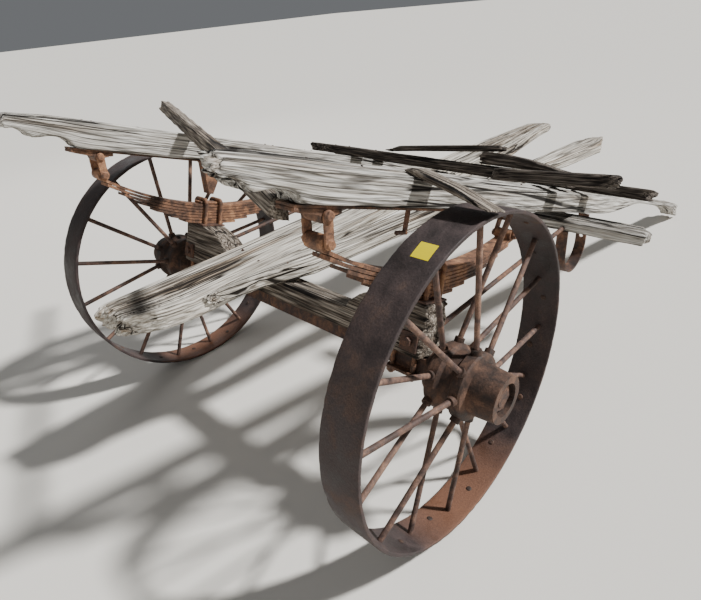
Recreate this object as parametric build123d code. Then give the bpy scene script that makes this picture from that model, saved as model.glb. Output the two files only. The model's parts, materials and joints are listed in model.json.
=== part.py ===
from build123d import *
from math import asin, atan2, cos, degrees, hypot, radians, sin, sqrt, tan
import os

# Wheels
wheel_radius = 508.0
tyre_wall = 12.0
tyre_width = 127.0
tyre_corner = 2.0
wheel_offset = 767.0
spoke_count = 16
spoke_radius = 8.5
spoke_gap = 0.3
spoke_stagger_hub = 40.0
spoke_stagger_tyre = 6.0
near_spoke_angle = 8.2
far_spoke_angle = -3.2

# Hubs
hub_drum_radius = 92.0
hub_flange_radius = 104.0
hub_nose_radius = 72.5
hub_barrel_radius = 66.0
hub_inboard = 90.0
hub_nose = 147.0
hub_recess_radius = 50.0
hub_recess_depth = 28.0
boss_radius = 15.0
boss_top = 118.0
bore_clearance = 0.08

# Axle
arm_radius = 25.0
arm_end = 905.0
collar_radius = 36.0
collar_width = 8.0
hub_side_gap = 5.0
axle_square = 50.0
washer_thickness = 6.0
washer_radius = 42.0
washer_gap = 1.0
nut_flats = 70.0
nut_height = 10.0

# Axle bed timber
bed_rear = -50.0
bed_front = 60.0
bed_end_gap = 2.0
block_shoulder = ((520.0, 1.0), (455.0, 0.88), (390.0, 0.66), (345.0, 0.3), (330.0, 0.0))
block_below_tyre_top = 308.0

# Springs
spring_offset = 584.0
leaf_width = 62.0
leaf_thickness = 11.0
leaf_gap = 0.9
leaf_halves = (464.0, 450.0, 385.0, 320.0, 255.0, 190.0, 125.0)
eye_radius = 10.0
eye_above_block = 185.0
seat_plate = 6.0
seat_plate_width = 120.0

# Spring bolts and clip plates
bolt_radius = 8.0
bolt_hole_clearance = 0.5
bolt_pitch = 36.0
bolt_side_gap = 1.0
bolt_bend = 14.0
clip_plate = 10.0
clip_plate_length = 110.0
lower_clip_width = 112.0
small_nut_flats = 26.0
small_nut_height = 12.0
bolt_tail = 6.0

# Hangers and shackles
shackle_rise = 65.0
pin_clearance = 0.3
hanger_pin_shift = 16.0
hanger_pin_drop = 15.0
hanger_boss_radius = 20.0
hanger_plate = 10.0
hanger_inner = 430.0
hanger_outer = 576.0
link_radius = 14.0
link_thickness = 8.0
link_gap = 1.0
pin_head = 7.0

# Rails
rail_offset = 584.0
rail_width = 92.0
rail_depth = 98.0
near_rail_nose = 797.0
far_rail_nose = 790.0
rail_tail = 2947.0
rail_step = 564.0
nose_slant = 27.0
rail_wear = 18.0
strap_thickness = 6.0
strap_width = 60.0

# Cross timbers
bearer_front = -1016.0
bearer_width = 100.0
bearer_depth = 48.0
bearer_half = 935.0
rest_gap = 0.2
upper_bearer_place = -1062.0
upper_bearer_width = 90.0
upper_bearer_depth = 48.0
upper_bearer_far = 900.0
upper_bearer_near = 894.0
notch_depth = 7.0
notch_gap = 0.3
board_place = -879.0
board_width = 90.0
cross_board_depth = 48.0
cross_board_far = 925.0
cross_board_near = 640.0
stacked_board_depth = 55.0
stacked_board_inner = 200.0
stacked_board_tip = 12.0
leaning_board_depth = 25.0
leaning_board_low = -376.0
leaning_board_high = 315.0
tilted_board_place = -710.0
tilted_board_width = 90.0
tilted_board_depth = 50.0
tilted_board_inner = 182.0
tilted_board_outer = 326.0
tilted_board_angle = 4.0
broken_bearer_place = 150.0
broken_bearer_width = 90.0
broken_bearer_reach = 220.0
broken_bearer_start = 40.0
broken_bearer_slope = 0.242
loose_bearer_size = 50.0
loose_bearer_far_place = 143.5
loose_bearer_near_place = 541.5
loose_bearer_overhang = 720.0
loose_bearer_tip = -3.0

# Long planks
plank_thickness = 56.0
plank_gap = 2.0

# Stay rods, plates, hook and hanging bolt
stay_offset = 610.0
stay_radius = 9.0
stay_bed_height = 85.0
stay_bearer_height = 14.0
end_plate_size = 60.0
end_plate_thickness = 8.0
end_plate_height = 77.0
hook_radius = 107.0
hook_thickness = 10.0
hook_width = 45.0
hook_centre_place = -1128.0
hook_centre_height = 462.0
hook_hole_radius = 9.0
hook_hole_height = 478.0
hanging_bolt_place = 140.0
hanging_bolt_radius = 7.0
hanging_bolt_length = 65.0
hanging_bar_length = 45.0
bump_iron_length = 132.0
bump_iron_width = 40.0

# Heights that follow from the wheels, springs and shackles
block_height = wheel_radius - block_below_tyre_top
eye_height = block_height + eye_above_block
hanger_pin_w = eye_height + shackle_rise
strap_base = hanger_pin_w + hanger_pin_drop
rail_base = strap_base + strap_thickness
rail_top = rail_base + rail_depth

# Tilt that puts the rail tails on the floor
tilt = asin(wheel_radius / hypot(rail_tail, rail_base)) + atan2(rail_base, rail_tail)
tilt_degrees = degrees(tilt)


def block(x0, x1, y0, y1, z0, z1):
    return Pos((x0 + x1) / 2, (y0 + y1) / 2, (z0 + z1) / 2) * Box(x1 - x0, y1 - y0, z1 - z0)


def along_y(face, y0, y1):
    return Pos(0, y0, 0) * extrude(Plane.XZ * face, amount=-(y1 - y0))


def along_x(face, x0, x1):
    return Pos(x0, 0, 0) * extrude(Plane.YZ * face, amount=x1 - x0)


def polygon(*points):
    return make_face(Polyline(*points, close=True))


def bar(start, end, radius):
    a = Vector(*start)
    b = Vector(*end)
    centre = (a + b) * 0.5
    return Plane(origin=centre, z_dir=b - a) * Cylinder(radius, (b - a).length)


def hexagon(flats, height):
    return extrude(RegularPolygon(flats / 2, 6, major_radius=False), amount=height)


def to_world(solid):
    return Pos(0, 0, wheel_radius) * Rot(0, -tilt_degrees, 0) * solid


def world_point(u, w):
    return (u * cos(tilt) - w * sin(tilt), wheel_radius + u * sin(tilt) + w * cos(tilt))


def local_point(x, z):
    drop = z - wheel_radius
    return (x * cos(tilt) + drop * sin(tilt), drop * cos(tilt) - x * sin(tilt))


def rail_underside(x):
    base = wheel_radius + rail_base / cos(tilt)
    return base + x * tan(tilt)


chassis = {}
grounded = {}
wheels = {}

# Tyre
tyre_inner = wheel_radius - tyre_wall
tyre_section = Pos(wheel_radius - tyre_wall / 2, 0) * Rectangle(tyre_wall, tyre_width)
tyre_section = fillet(tyre_section.vertices(), tyre_corner)
tyre = revolve(tyre_section, Axis.Y)

# Hub turned about the axle
bore_radius = arm_radius + bore_clearance
recess_floor = hub_nose - hub_recess_depth
hub_profile = polygon(
    (bore_radius, -hub_inboard),
    (hub_barrel_radius, -hub_inboard),
    (hub_barrel_radius + 6, -hub_inboard + 26),
    (hub_flange_radius - 5, -spoke_stagger_hub - 20),
    (hub_flange_radius, -spoke_stagger_hub - 14),
    (hub_flange_radius, -spoke_stagger_hub + 14),
    (hub_drum_radius, -spoke_stagger_hub + 24),
    (hub_drum_radius, spoke_stagger_hub - 24),
    (hub_flange_radius, spoke_stagger_hub - 14),
    (hub_flange_radius, spoke_stagger_hub + 14),
    (hub_flange_radius - 5, spoke_stagger_hub + 20),
    (hub_nose_radius + 6, spoke_stagger_hub + 26),
    (hub_nose_radius, hub_nose),
    (hub_recess_radius, hub_nose),
    (hub_recess_radius, recess_floor),
    (bore_radius, recess_floor),
)
hub_body = revolve(hub_profile, Axis.Y)

# Spokes lean from the hub bosses to the middle of the tyre
spoke_run = tyre_inner - boss_top
spoke_lean = spoke_stagger_hub - spoke_stagger_tyre
tyre_bore = Rot(90, 0, 0) * Cylinder(tyre_inner - spoke_gap, 2 * tyre_width)
sides = (1, -1)
spoke_pair = []
boss_pair = []
for side in sides:
    seat = Plane(origin=(boss_top, side * spoke_stagger_hub, 0), z_dir=(spoke_run, -side * spoke_lean, 0))
    low = (Align.CENTER, Align.CENTER, Align.MIN)
    high = (Align.CENTER, Align.CENTER, Align.MAX)
    spoke_pair.append((seat * Cylinder(spoke_radius, spoke_run + 10, align=low)) & tyre_bore)
    boss_pair.append(seat * Cylinder(boss_radius, boss_top - hub_drum_radius + 8, align=high))


def wheel_set(start_angle):
    hub = hub_body
    spokes = []
    for k in range(spoke_count):
        turn = Rot(0, -(start_angle + k * 360 / spoke_count), 0)
        hub = hub + turn * boss_pair[k % 2]
        spokes.append(turn * spoke_pair[k % 2])
    return {"tyre": tyre, "hub": hub, "spokes": Compound(children=spokes)}


for name, side, start_angle in (("near", 1, near_spoke_angle), ("far", -1, far_spoke_angle)):
    for piece, solid in wheel_set(start_angle).items():
        if side < 0:
            solid = mirror(solid, about=Plane.XZ)
        wheels[name + "_" + piece] = Pos(0, side * wheel_offset, wheel_radius) * solid

# Axle bar with a collar and a round arm at each end
collar_end = wheel_offset - hub_inboard - hub_side_gap
collar_start = collar_end - collar_width
axle_bar = Box(axle_square, 2 * collar_start, axle_square)
for side in sides:
    axle_bar += bar((0, side * collar_start, 0), (0, side * collar_end, 0), collar_radius)
    axle_bar += bar((0, side * (collar_end - 1), 0), (0, side * arm_end, 0), arm_radius)
chassis["axle_bar"] = axle_bar

# Washer and nut in each hub recess
washer_start = wheel_offset + recess_floor + washer_gap
washer_end = washer_start + washer_thickness
washer = bar((0, washer_start, 0), (0, washer_end, 0), washer_radius)
nut = Pos(0, washer_end, 0) * Rot(-90, 0, 0) * hexagon(nut_flats, nut_height)
axle_nut = washer + nut - bar((0, washer_start - 1, 0), (0, arm_end, 0), bore_radius)

# Axle bed with a raised block at each end
bearer_rear = bearer_front - bearer_width
bearer_top = rail_underside(bearer_rear) - rest_gap
bed_middle = (bearer_top - wheel_radius - bed_front * sin(tilt)) / cos(tilt)
bed_half = collar_start - bed_end_gap
bed_bottom = axle_square / 2
block_rise = block_height - bed_middle
near_shoulder = [(y, bed_middle + part * block_rise) for y, part in block_shoulder]
far_shoulder = [(-y, w) for y, w in reversed(near_shoulder)]
bed = along_x(
    polygon(
        (-bed_half, bed_bottom),
        (bed_half, bed_bottom),
        (bed_half, block_height),
        *near_shoulder,
        *far_shoulder,
        (-bed_half, block_height),
    ),
    bed_rear,
    bed_front,
)

# Spring leaves bent about one centre
seat_top = block_height + seat_plate
leaf_pitch = leaf_thickness + leaf_gap
spring_top = seat_top + rest_gap + len(leaf_halves) * leaf_pitch - leaf_gap
eye_rise = eye_height - spring_top
eye_half = leaf_halves[0]
bend_radius = (eye_half**2 + eye_rise**2 - eye_radius**2) / (2 * (eye_rise - eye_radius))
bend_centre = spring_top + bend_radius
leaves = []
for index, half in enumerate(leaf_halves):
    inner = bend_radius + index * leaf_pitch
    outer = inner + leaf_thickness
    ring = Pos(0, bend_centre) * (Circle(outer) - Circle(inner))
    window = Pos(0, spring_top) * Rectangle(2 * half, 4 * eye_rise)
    leaf = ring & window
    if index == 0:
        for side in sides:
            leaf += Pos(side * eye_half, eye_height) * Circle(eye_radius + leaf_thickness)
        for side in sides:
            leaf -= Pos(side * eye_half, eye_height) * Circle(eye_radius)
    leaves.append(along_y(leaf, spring_offset - leaf_width / 2, spring_offset + leaf_width / 2))
spring = Compound(children=[solid for leaf in leaves for solid in leaf.solids()])

# Clip bolts over the spring and through the bed
half_clip = clip_plate_length / 2
clip_base = bend_centre - sqrt(bend_radius**2 - half_clip**2) + rest_gap
clip_top = clip_base + clip_plate
bolt_reach = leaf_width / 2 + bolt_side_gap + bolt_radius
upper_clip_half = bolt_reach - bolt_bend - 1
lower_clip_top = -axle_square / 2
lower_clip_base = lower_clip_top - clip_plate
bolt_bottom = lower_clip_base - small_nut_height - bolt_tail
bolt_bow = clip_top + bolt_radius
bolts = []
for u in (-bolt_pitch, bolt_pitch):
    path = FilletPolyline(
        (u, spring_offset - bolt_reach, bolt_bottom),
        (u, spring_offset - bolt_reach, bolt_bow),
        (u, spring_offset + bolt_reach, bolt_bow),
        (u, spring_offset + bolt_reach, bolt_bottom),
        radius=bolt_bend,
    )
    bolt = sweep(Plane(origin=path @ 0, z_dir=path % 0) * Circle(bolt_radius), path=path)
    for y in (spring_offset - bolt_reach, spring_offset + bolt_reach):
        bolt += Pos(u, y, lower_clip_base - small_nut_height) * hexagon(small_nut_flats, small_nut_height)
    bolts.append(bolt)
clip_bolts = Compound(children=bolts)

bolt_hole = bolt_radius + bolt_hole_clearance
leg_holes = []
for u in (-bolt_pitch, bolt_pitch):
    for y in (spring_offset - bolt_reach, spring_offset + bolt_reach):
        leg_holes.append(bar((u, y, lower_clip_base - 5), (u, y, seat_top + 5), bolt_hole))
for hole in leg_holes:
    bed = bed - hole - mirror(hole, about=Plane.XZ)

seat_half = seat_plate_width / 2
spring_seat = block(
    bed_rear, bed_front, spring_offset - seat_half, spring_offset + seat_half, block_height, seat_top
)
lower_clip = block(
    -half_clip,
    half_clip,
    spring_offset - lower_clip_width / 2,
    spring_offset + lower_clip_width / 2,
    lower_clip_base,
    lower_clip_top,
)
for hole in leg_holes:
    spring_seat = spring_seat - hole
    lower_clip = lower_clip - hole
upper_clip = block(
    -half_clip, half_clip, spring_offset - upper_clip_half, spring_offset + upper_clip_half, clip_base, clip_top
)
clip_plates = Compound(children=[upper_clip, lower_clip])

# Hangers under the rail straps and their shackles
hanger_pin_u = eye_half + hanger_pin_shift
hanger_low = strap_base - hanger_plate
hanger_profile = polygon(
    (hanger_inner, strap_base),
    (hanger_outer, strap_base),
    (hanger_outer, hanger_low),
    (hanger_pin_u + hanger_boss_radius, hanger_low - 8),
    (hanger_pin_u - hanger_boss_radius, hanger_low - 8),
    (hanger_inner, hanger_low),
)
hanger_profile += Pos(hanger_pin_u, hanger_pin_w) * (
    Circle(hanger_boss_radius) & (Pos(0, -50) * Rectangle(100, 100 + 2 * hanger_pin_drop - 2))
)
hanger_profile -= Pos(hanger_pin_u, hanger_pin_w) * Circle(eye_radius)
hanger = along_y(hanger_profile, spring_offset - leaf_width / 2, spring_offset + leaf_width / 2)

pin_radius = eye_radius - pin_clearance
link_inner = leaf_width / 2 + link_gap
link_outer = link_inner + link_thickness
pin_tip = link_outer + pin_head
eye_pin = (eye_half, eye_height)
hanger_pin = (hanger_pin_u, hanger_pin_w)
link_profile = make_hull(
    (Pos(*eye_pin) * Circle(link_radius)).edges() + (Pos(*hanger_pin) * Circle(link_radius)).edges()
)
shackle = along_y(link_profile, spring_offset + link_inner, spring_offset + link_outer)
shackle += along_y(link_profile, spring_offset - link_outer, spring_offset - link_inner)
for u, w in (eye_pin, hanger_pin):
    shackle += bar((u, spring_offset - pin_tip, w), (u, spring_offset + pin_tip, w), pin_radius)
    for y in (spring_offset - pin_tip, spring_offset + link_outer):
        head = Pos(u, y + pin_head, w) * Rot(90, 0, 0) * hexagon(2 * pin_radius + 3, pin_head)
        shackle += head

# Rail outline with its carved nose
rail_inner = rail_offset - rail_width / 2
rail_outer = rail_offset + rail_width / 2
nose_step = (rail_step, rail_base)


def nose_edges(tip):
    cusp = (rail_step + 125, rail_base + 19)
    lip = (tip - 84, rail_base + 21)
    curl = (tip - 6, rail_base + 37)
    top = (tip - 13, rail_base + 86)
    shoulder = (tip - 32, rail_top - 8)
    back = (tip - 146, rail_top)
    return back, [
        Spline(nose_step, (rail_step + 16, rail_base + 18), (rail_step + 60, rail_base + 31), cusp),
        Line(cusp, lip),
        Spline(lip, (tip - 70, rail_base + 34), (tip - 42, rail_base + 44), curl),
        Spline(curl, (tip, rail_base + 56), top),
        Polyline(top, shoulder, back),
    ]


far_back, far_nose = nose_edges(far_rail_nose)
near_back, near_nose = nose_edges(near_rail_nose)
tail_low = (-rail_tail, rail_base)
tail_high = (-rail_tail, rail_top)
far_edges = far_nose + [Polyline(far_back, tail_high, tail_low, nose_step)]

# Near rail with its decayed underside and split tail
decay_start = (-1300, rail_base)
decay_end = (-rail_tail + 97, rail_base + 10)
split_tail = (
    near_back,
    (-rail_tail + 70, rail_top),
    (-rail_tail + 30, rail_base + 72),
    (-rail_tail + 44, rail_base + 44),
    (-rail_tail + 10, rail_base + 30),
    tail_low,
    decay_end,
)
decay = Spline(
    decay_end,
    (-rail_tail + 447, rail_base + 58),
    (-rail_tail + 760, rail_base + 61),
    (-rail_tail + 1080, rail_base + 58),
    decay_start,
    tangents=[(1, 0.35), (1, 0)],
)
near_edges = near_nose + [Polyline(*split_tail), decay, Line(decay_start, nose_step)]


def rail_solid(edges):
    return along_y(make_face(edges), rail_inner, rail_outer)


worn_edge = along_x(
    polygon((rail_inner, rail_top), (rail_outer + 5, rail_top + 5), (rail_outer + 5, rail_top - rail_wear * 1.054)),
    -rail_tail - 5,
    near_rail_nose + 5,
)
blunt_edge = Pos(0, 0, rail_base - 5) * extrude(
    polygon(
        (near_rail_nose - nose_slant, rail_inner - 5),
        (near_rail_nose - 4, rail_outer - 30),
        (near_rail_nose + 5, rail_outer - 20),
        (near_rail_nose + 5, rail_inner - 5),
    ),
    amount=rail_depth + 10,
)
worn_slope = (rail_wear * 1.054) / (rail_width + 5)
near_rail = rail_solid(near_edges) - worn_edge - blunt_edge
far_rail = mirror(rail_solid(far_edges), about=Plane.XZ)
notch_base = rail_top - notch_depth
notch_half = upper_bearer_width / 2 + notch_gap
notch = block(
    upper_bearer_place - notch_half, upper_bearer_place + notch_half, -1000, 1000, notch_base, rail_top + 50
)
chassis["near_rail"] = near_rail - notch
chassis["far_rail"] = far_rail - notch
strap = block(
    -hanger_outer,
    hanger_outer,
    rail_offset - strap_width / 2,
    rail_offset + strap_width / 2,
    strap_base,
    rail_base,
)

# Timbers across the rails
upper_base = notch_base + rest_gap
chassis["upper_bearer"] = block(
    upper_bearer_place - upper_bearer_width / 2,
    upper_bearer_place + upper_bearer_width / 2,
    -upper_bearer_far,
    upper_bearer_near,
    upper_base,
    upper_base + upper_bearer_depth,
)
board_front = board_place + board_width / 2
board_back = board_place - board_width / 2
cross_base = rail_top + rest_gap
cross_top = cross_base + cross_board_depth
cross_board = block(board_back, board_front, -cross_board_far, cross_board_near, cross_base, cross_top)
taper = Pos(board_front, -cross_board_far, cross_base + 20) * Rot(0, 0, 18) * Box(90, 320, 120)
chassis["cross_board"] = cross_board - Pos(28, 0, 0) * taper
stacked_base = cross_top + rest_gap
stacked_top = stacked_base + stacked_board_depth
chassis["stacked_board"] = along_x(
    polygon(
        (stacked_board_inner, stacked_base),
        (cross_board_near, stacked_base),
        (cross_board_near, stacked_base + stacked_board_tip),
        ((stacked_board_inner + cross_board_near) / 2, stacked_top - 8),
        (leaning_board_high + 20, stacked_top),
        (stacked_board_inner, stacked_top),
    ),
    board_back,
    board_front,
)
lean_start = cross_top + rest_gap
lean_slope = (stacked_top + rest_gap - lean_start) / (stacked_board_inner - leaning_board_low)


def lean_height(y):
    return lean_start + (y - leaning_board_low) * lean_slope


chassis["leaning_board"] = along_x(
    polygon(
        (leaning_board_low, lean_start),
        (leaning_board_high, lean_height(leaning_board_high)),
        (leaning_board_high, lean_height(leaning_board_high) + leaning_board_depth),
        (leaning_board_low + 110, lean_height(leaning_board_low + 110) + leaning_board_depth),
    ),
    board_back + 6,
    board_front - 6,
)
tilted = block(
    -tilted_board_width / 2, tilted_board_width / 2, -tilted_board_inner, tilted_board_outer, 0, tilted_board_depth
)
chassis["tilted_board"] = (
    Pos(tilted_board_place, rail_inner, rail_top + rest_gap) * Rot(tilted_board_angle, 0, 0) * tilted
)


def worn_top(y):
    return rail_top + rest_gap - (y - rail_inner) * worn_slope


broken_inner = rail_inner + broken_bearer_start
broken_outer = rail_outer + broken_bearer_reach
broken_middle = (rail_outer + broken_outer) / 2
edge_height = worn_top(rail_outer)


def broken_base(y):
    return edge_height - (y - rail_outer) * broken_bearer_slope


chassis["broken_bearer"] = along_x(
    polygon(
        (broken_inner, worn_top(broken_inner)),
        (rail_outer, edge_height),
        (broken_outer, broken_base(broken_outer)),
        (broken_outer, broken_base(broken_outer) + 7),
        (broken_middle, broken_base(broken_middle) + 20),
        (rail_outer - 20, worn_top(rail_outer - 20) + 21),
        (broken_inner, worn_top(broken_inner) + 8),
    ),
    broken_bearer_place - broken_bearer_width / 2,
    broken_bearer_place + broken_bearer_width / 2,
)

# Loose bearer over the far rail and under the near rail
inner_span = 2 * rail_inner
fall = rail_depth + 2 * rest_gap
loose_angle = asin(loose_bearer_size / hypot(inner_span, fall)) + atan2(fall, inner_span)
loose_shift = loose_bearer_near_place - loose_bearer_far_place
loose_heading = Vector(loose_shift, inner_span, -inner_span * tan(loose_angle))
loose_normal = Vector(0, sin(loose_angle), cos(loose_angle))
loose_span = loose_heading.length
loose_box = block(
    -loose_bearer_overhang,
    loose_span + loose_bearer_tip,
    -loose_bearer_size / 2,
    loose_bearer_size / 2,
    0,
    loose_bearer_size,
)
loose_plane = Plane(
    origin=(loose_bearer_far_place, -rail_inner, rail_top + rest_gap), x_dir=loose_heading, z_dir=loose_normal
)
torn_corner = Pos(-loose_bearer_overhang, -loose_bearer_size / 2, loose_bearer_size)
torn_end = torn_corner * Rot(0, 34, 20) * Box(120, 60, 44)
chassis["loose_bearer"] = loose_plane * (loose_box - torn_end)

# Level bearer under the rails
bearer_base = bearer_top - bearer_depth
rear_bearer = block(bearer_rear, bearer_front, -bearer_half, bearer_half, bearer_base, bearer_top)
chip = Pos(bearer_rear, bearer_half, bearer_top) * Rot(0, 25, 35) * Box(60, 60, 40)
grounded["rear_bearer"] = rear_bearer - chip

# Long planks lying on the axle bed and the level bearer
plank_base = bearer_top + rest_gap
plank_top = plank_base + plank_thickness
first_far = -298.0
first_near = (
    (573.0, -146.0),
    (470.0, -84.0),
    (345.0, -52.0),
    (-94.0, -55.0),
    (-1820.0, -50.0),
    (-2283.0, -112.0),
)
first_tail = ((-2483.0, -122.0), (-2470.0, -190.0), (-2410.0, -253.0), (-2140.0, -270.0))
second_near = (
    (105.0, 2.0),
    (0.0, 48.0),
    (-80.0, 85.0),
    (-321.0, 118.0),
    (-594.0, 148.0),
    (-1600.0, 290.0),
    (-2059.0, 361.0),
)
second_far = (
    (-2241.0, 309.0),
    (-2190.0, 250.0),
    (-2056.0, 206.0),
    (-1598.0, 169.0),
    (-643.0, 39.0),
    (-289.0, 14.0),
    (-170.0, -20.0),
)
first_front = 594.0
saddle_front = 55.0
saddle_depth = 24.0
sliver_front = 330.0
seam = -52.0

plank_one = polygon((first_front, first_far), *first_near, *first_tail, (-1820.0, first_far))
deep_front = [point for point in first_near if point[0] > saddle_front]
plank_one_low = polygon((first_front, first_far), *deep_front, (saddle_front, seam), (saddle_front, first_far))
plank_two = polygon(
    (sliver_front, seam + plank_gap),
    *second_near,
    *second_far,
    (second_far[-1][0] + 40, seam + plank_gap),
)
first_plank = Pos(0, 0, plank_base) * extrude(plank_one, amount=plank_thickness)
first_plank += Pos(0, 0, plank_base - saddle_depth) * extrude(plank_one_low, amount=saddle_depth)
grounded["long_plank_one"] = first_plank
grounded["long_plank_two"] = Pos(0, 0, plank_base) * extrude(plank_two, amount=plank_thickness)

# Stay rods from the level bearer to the axle bed
bearer_u, bearer_w = local_point(bearer_front - 20, bearer_base + stay_bearer_height)
stay_slope = (bearer_w - stay_bed_height) / (bed_rear - bearer_u)
stay = to_world(
    bar(
        (bed_rear + 30, stay_offset, stay_bed_height - 30 * stay_slope), (bearer_u, stay_offset, bearer_w), stay_radius
    )
)
stay = stay - rear_bearer - to_world(block(bed_rear, bed_front, rail_inner, bed_half, bed_bottom, block_height))

# Plates and nuts on the bed's front face
end_plate = block(
    bed_front,
    bed_front + end_plate_thickness,
    stay_offset - end_plate_size / 2,
    stay_offset + end_plate_size / 2,
    end_plate_height - end_plate_size / 2,
    end_plate_height + end_plate_size / 2,
)
end_plate += (
    Pos(bed_front + end_plate_thickness, stay_offset, end_plate_height)
    * Rot(0, 90, 0)
    * hexagon(small_nut_flats, small_nut_height)
)

# Hook iron between the near rail and the level bearer
hook_outer = hook_radius + hook_thickness / 2
hook_inner = hook_radius - hook_thickness / 2
hook_back = hook_centre_place - hook_outer
hook_profile = Pos(hook_centre_place, hook_centre_height) * (
    (Circle(hook_outer) - Circle(hook_inner)) & (Pos(0, -hook_outer) * Rectangle(3 * hook_outer, 2 * hook_outer))
)
hook_legs = (
    (hook_back, hook_centre_place - hook_inner, rail_underside(hook_back) - rest_gap),
    (hook_centre_place + hook_inner, hook_centre_place + hook_outer, bearer_base - rest_gap),
)
for left, right, top in hook_legs:
    hook_profile += Pos((left + right) / 2, (hook_centre_height + top) / 2) * Rectangle(
        right - left, top - hook_centre_height
    )
hook = along_y(hook_profile, stay_offset - hook_width / 2, stay_offset + hook_width / 2)
hook_hole = bar(
    (hook_back - 5, stay_offset, hook_hole_height), (hook_back + 20, stay_offset, hook_hole_height), hook_hole_radius
)
grounded["hook_iron"] = hook - hook_hole

# Bolt hanging under the near rail strap
bolt_end = strap_base - hanging_bolt_length
hanging = bar(
    (hanging_bolt_place, rail_offset, strap_base), (hanging_bolt_place, rail_offset, bolt_end), hanging_bolt_radius
)
bar_start = hanging_bolt_place - hanging_bolt_radius
hanging += bar(
    (bar_start, rail_offset, bolt_end), (bar_start + hanging_bar_length, rail_offset, bolt_end), hanging_bolt_radius - 1
)
chassis["rail_bolt"] = hanging

# Bump iron under the far rail strap
bump_low = strap_base - bump_iron_length
bump = along_y(
    polygon(
        (-58, strap_base),
        (58, strap_base),
        (50, strap_base - 8),
        (14, bump_low),
        (-8, bump_low),
        (-50, strap_base - 8),
    ),
    -rail_offset - bump_iron_width / 2,
    -rail_offset + bump_iron_width / 2,
)
chassis["far_bump_iron"] = bump
chassis["axle_bed"] = bed

# Pieces that come once on each side
paired = {
    "rail_strap": strap,
    "spring": spring,
    "clip_bolts": clip_bolts,
    "clip_plates": clip_plates,
    "spring_seat": spring_seat,
    "front_hanger": hanger,
    "rear_hanger": mirror(hanger, about=Plane.YZ),
    "front_shackle": shackle,
    "rear_shackle": mirror(shackle, about=Plane.YZ),
    "axle_nut": axle_nut,
    "bed_plate": end_plate,
}
for name, solid in paired.items():
    chassis["near_" + name] = solid
    chassis["far_" + name] = mirror(solid, about=Plane.XZ)
grounded["near_stay_rod"] = stay
grounded["far_stay_rod"] = mirror(stay, about=Plane.XZ)

# One frame for all pieces, centred over its own footprint
world = {}
for name, solid in chassis.items():
    world[name] = to_world(solid)
world.update(grounded)
world.update(wheels)
boxes = [solid.bounding_box() for solid in world.values()]
middle_x = (min(box.min.X for box in boxes) + max(box.max.X for box in boxes)) / 2
middle_y = (min(box.min.Y for box in boxes) + max(box.max.Y for box in boxes)) / 2

os.makedirs("parts", exist_ok=True)
for name, solid in world.items():
    export_step(Pos(-middle_x, -middle_y, 0) * solid, "parts/" + name + ".step")
print("axle at", -middle_x, -middle_y, "tilt", tilt_degrees)
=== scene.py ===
import bpy, bmesh, json, math, random
from mathutils import Matrix, Vector, noise


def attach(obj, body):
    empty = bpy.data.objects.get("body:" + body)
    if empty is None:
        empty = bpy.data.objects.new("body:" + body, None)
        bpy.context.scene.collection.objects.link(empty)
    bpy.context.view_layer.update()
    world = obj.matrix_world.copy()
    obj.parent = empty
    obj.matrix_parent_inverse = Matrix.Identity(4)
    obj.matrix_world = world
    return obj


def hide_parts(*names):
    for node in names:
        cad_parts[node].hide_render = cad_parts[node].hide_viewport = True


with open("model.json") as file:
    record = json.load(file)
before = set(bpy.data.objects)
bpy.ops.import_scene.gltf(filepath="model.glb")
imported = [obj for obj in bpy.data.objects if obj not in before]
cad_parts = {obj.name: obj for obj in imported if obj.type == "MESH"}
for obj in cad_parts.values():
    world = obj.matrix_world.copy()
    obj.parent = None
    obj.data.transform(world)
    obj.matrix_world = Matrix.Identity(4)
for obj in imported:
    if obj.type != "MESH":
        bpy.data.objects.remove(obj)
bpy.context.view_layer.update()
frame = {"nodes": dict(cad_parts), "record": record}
nodes = frame["nodes"]
print("stage: frame loaded")

# Places are counted from the middle of the axle, which the record's joints give
nearJoint, farJoint = [joint["pos_m"] for joint in frame["record"]["behaviour"]["joints"][:2]]
axleMiddle = (Vector(nearJoint) + Vector(farJoint)) / 2
wheelPlaces = {"near": Vector(nearJoint), "far": Vector(farJoint)}
railTilt = math.radians(18.881)


def linearColour(hexCode):
    parts = [int(hexCode[i:i + 2], 16) / 255 for i in (1, 3, 5)]
    return [c / 12.92 if c <= 0.04045 else ((c + 0.055) / 1.055) ** 2.4 for c in parts] + [1.0]


def addNode(tree, kind, inputs=None, **settings):
    node = tree.nodes.new(kind)
    for name, value in settings.items():
        setattr(node, name, value)
    for socket, value in (inputs or {}).items():
        if isinstance(value, bpy.types.NodeSocket):
            tree.links.new(value, node.inputs[socket])
        else:
            node.inputs[socket].default_value = value
    return node


def startMaterial(name):
    material = bpy.data.materials.new(name)
    material.use_nodes = True
    material.node_tree.nodes.clear()
    return material, material.node_tree


def setRamp(ramp, stops):
    elements = ramp.color_ramp.elements
    while len(elements) < len(stops):
        elements.new(0.5)
    for element, (place, colour) in zip(elements, stops):
        element.position = place
        element.color = colour


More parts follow.
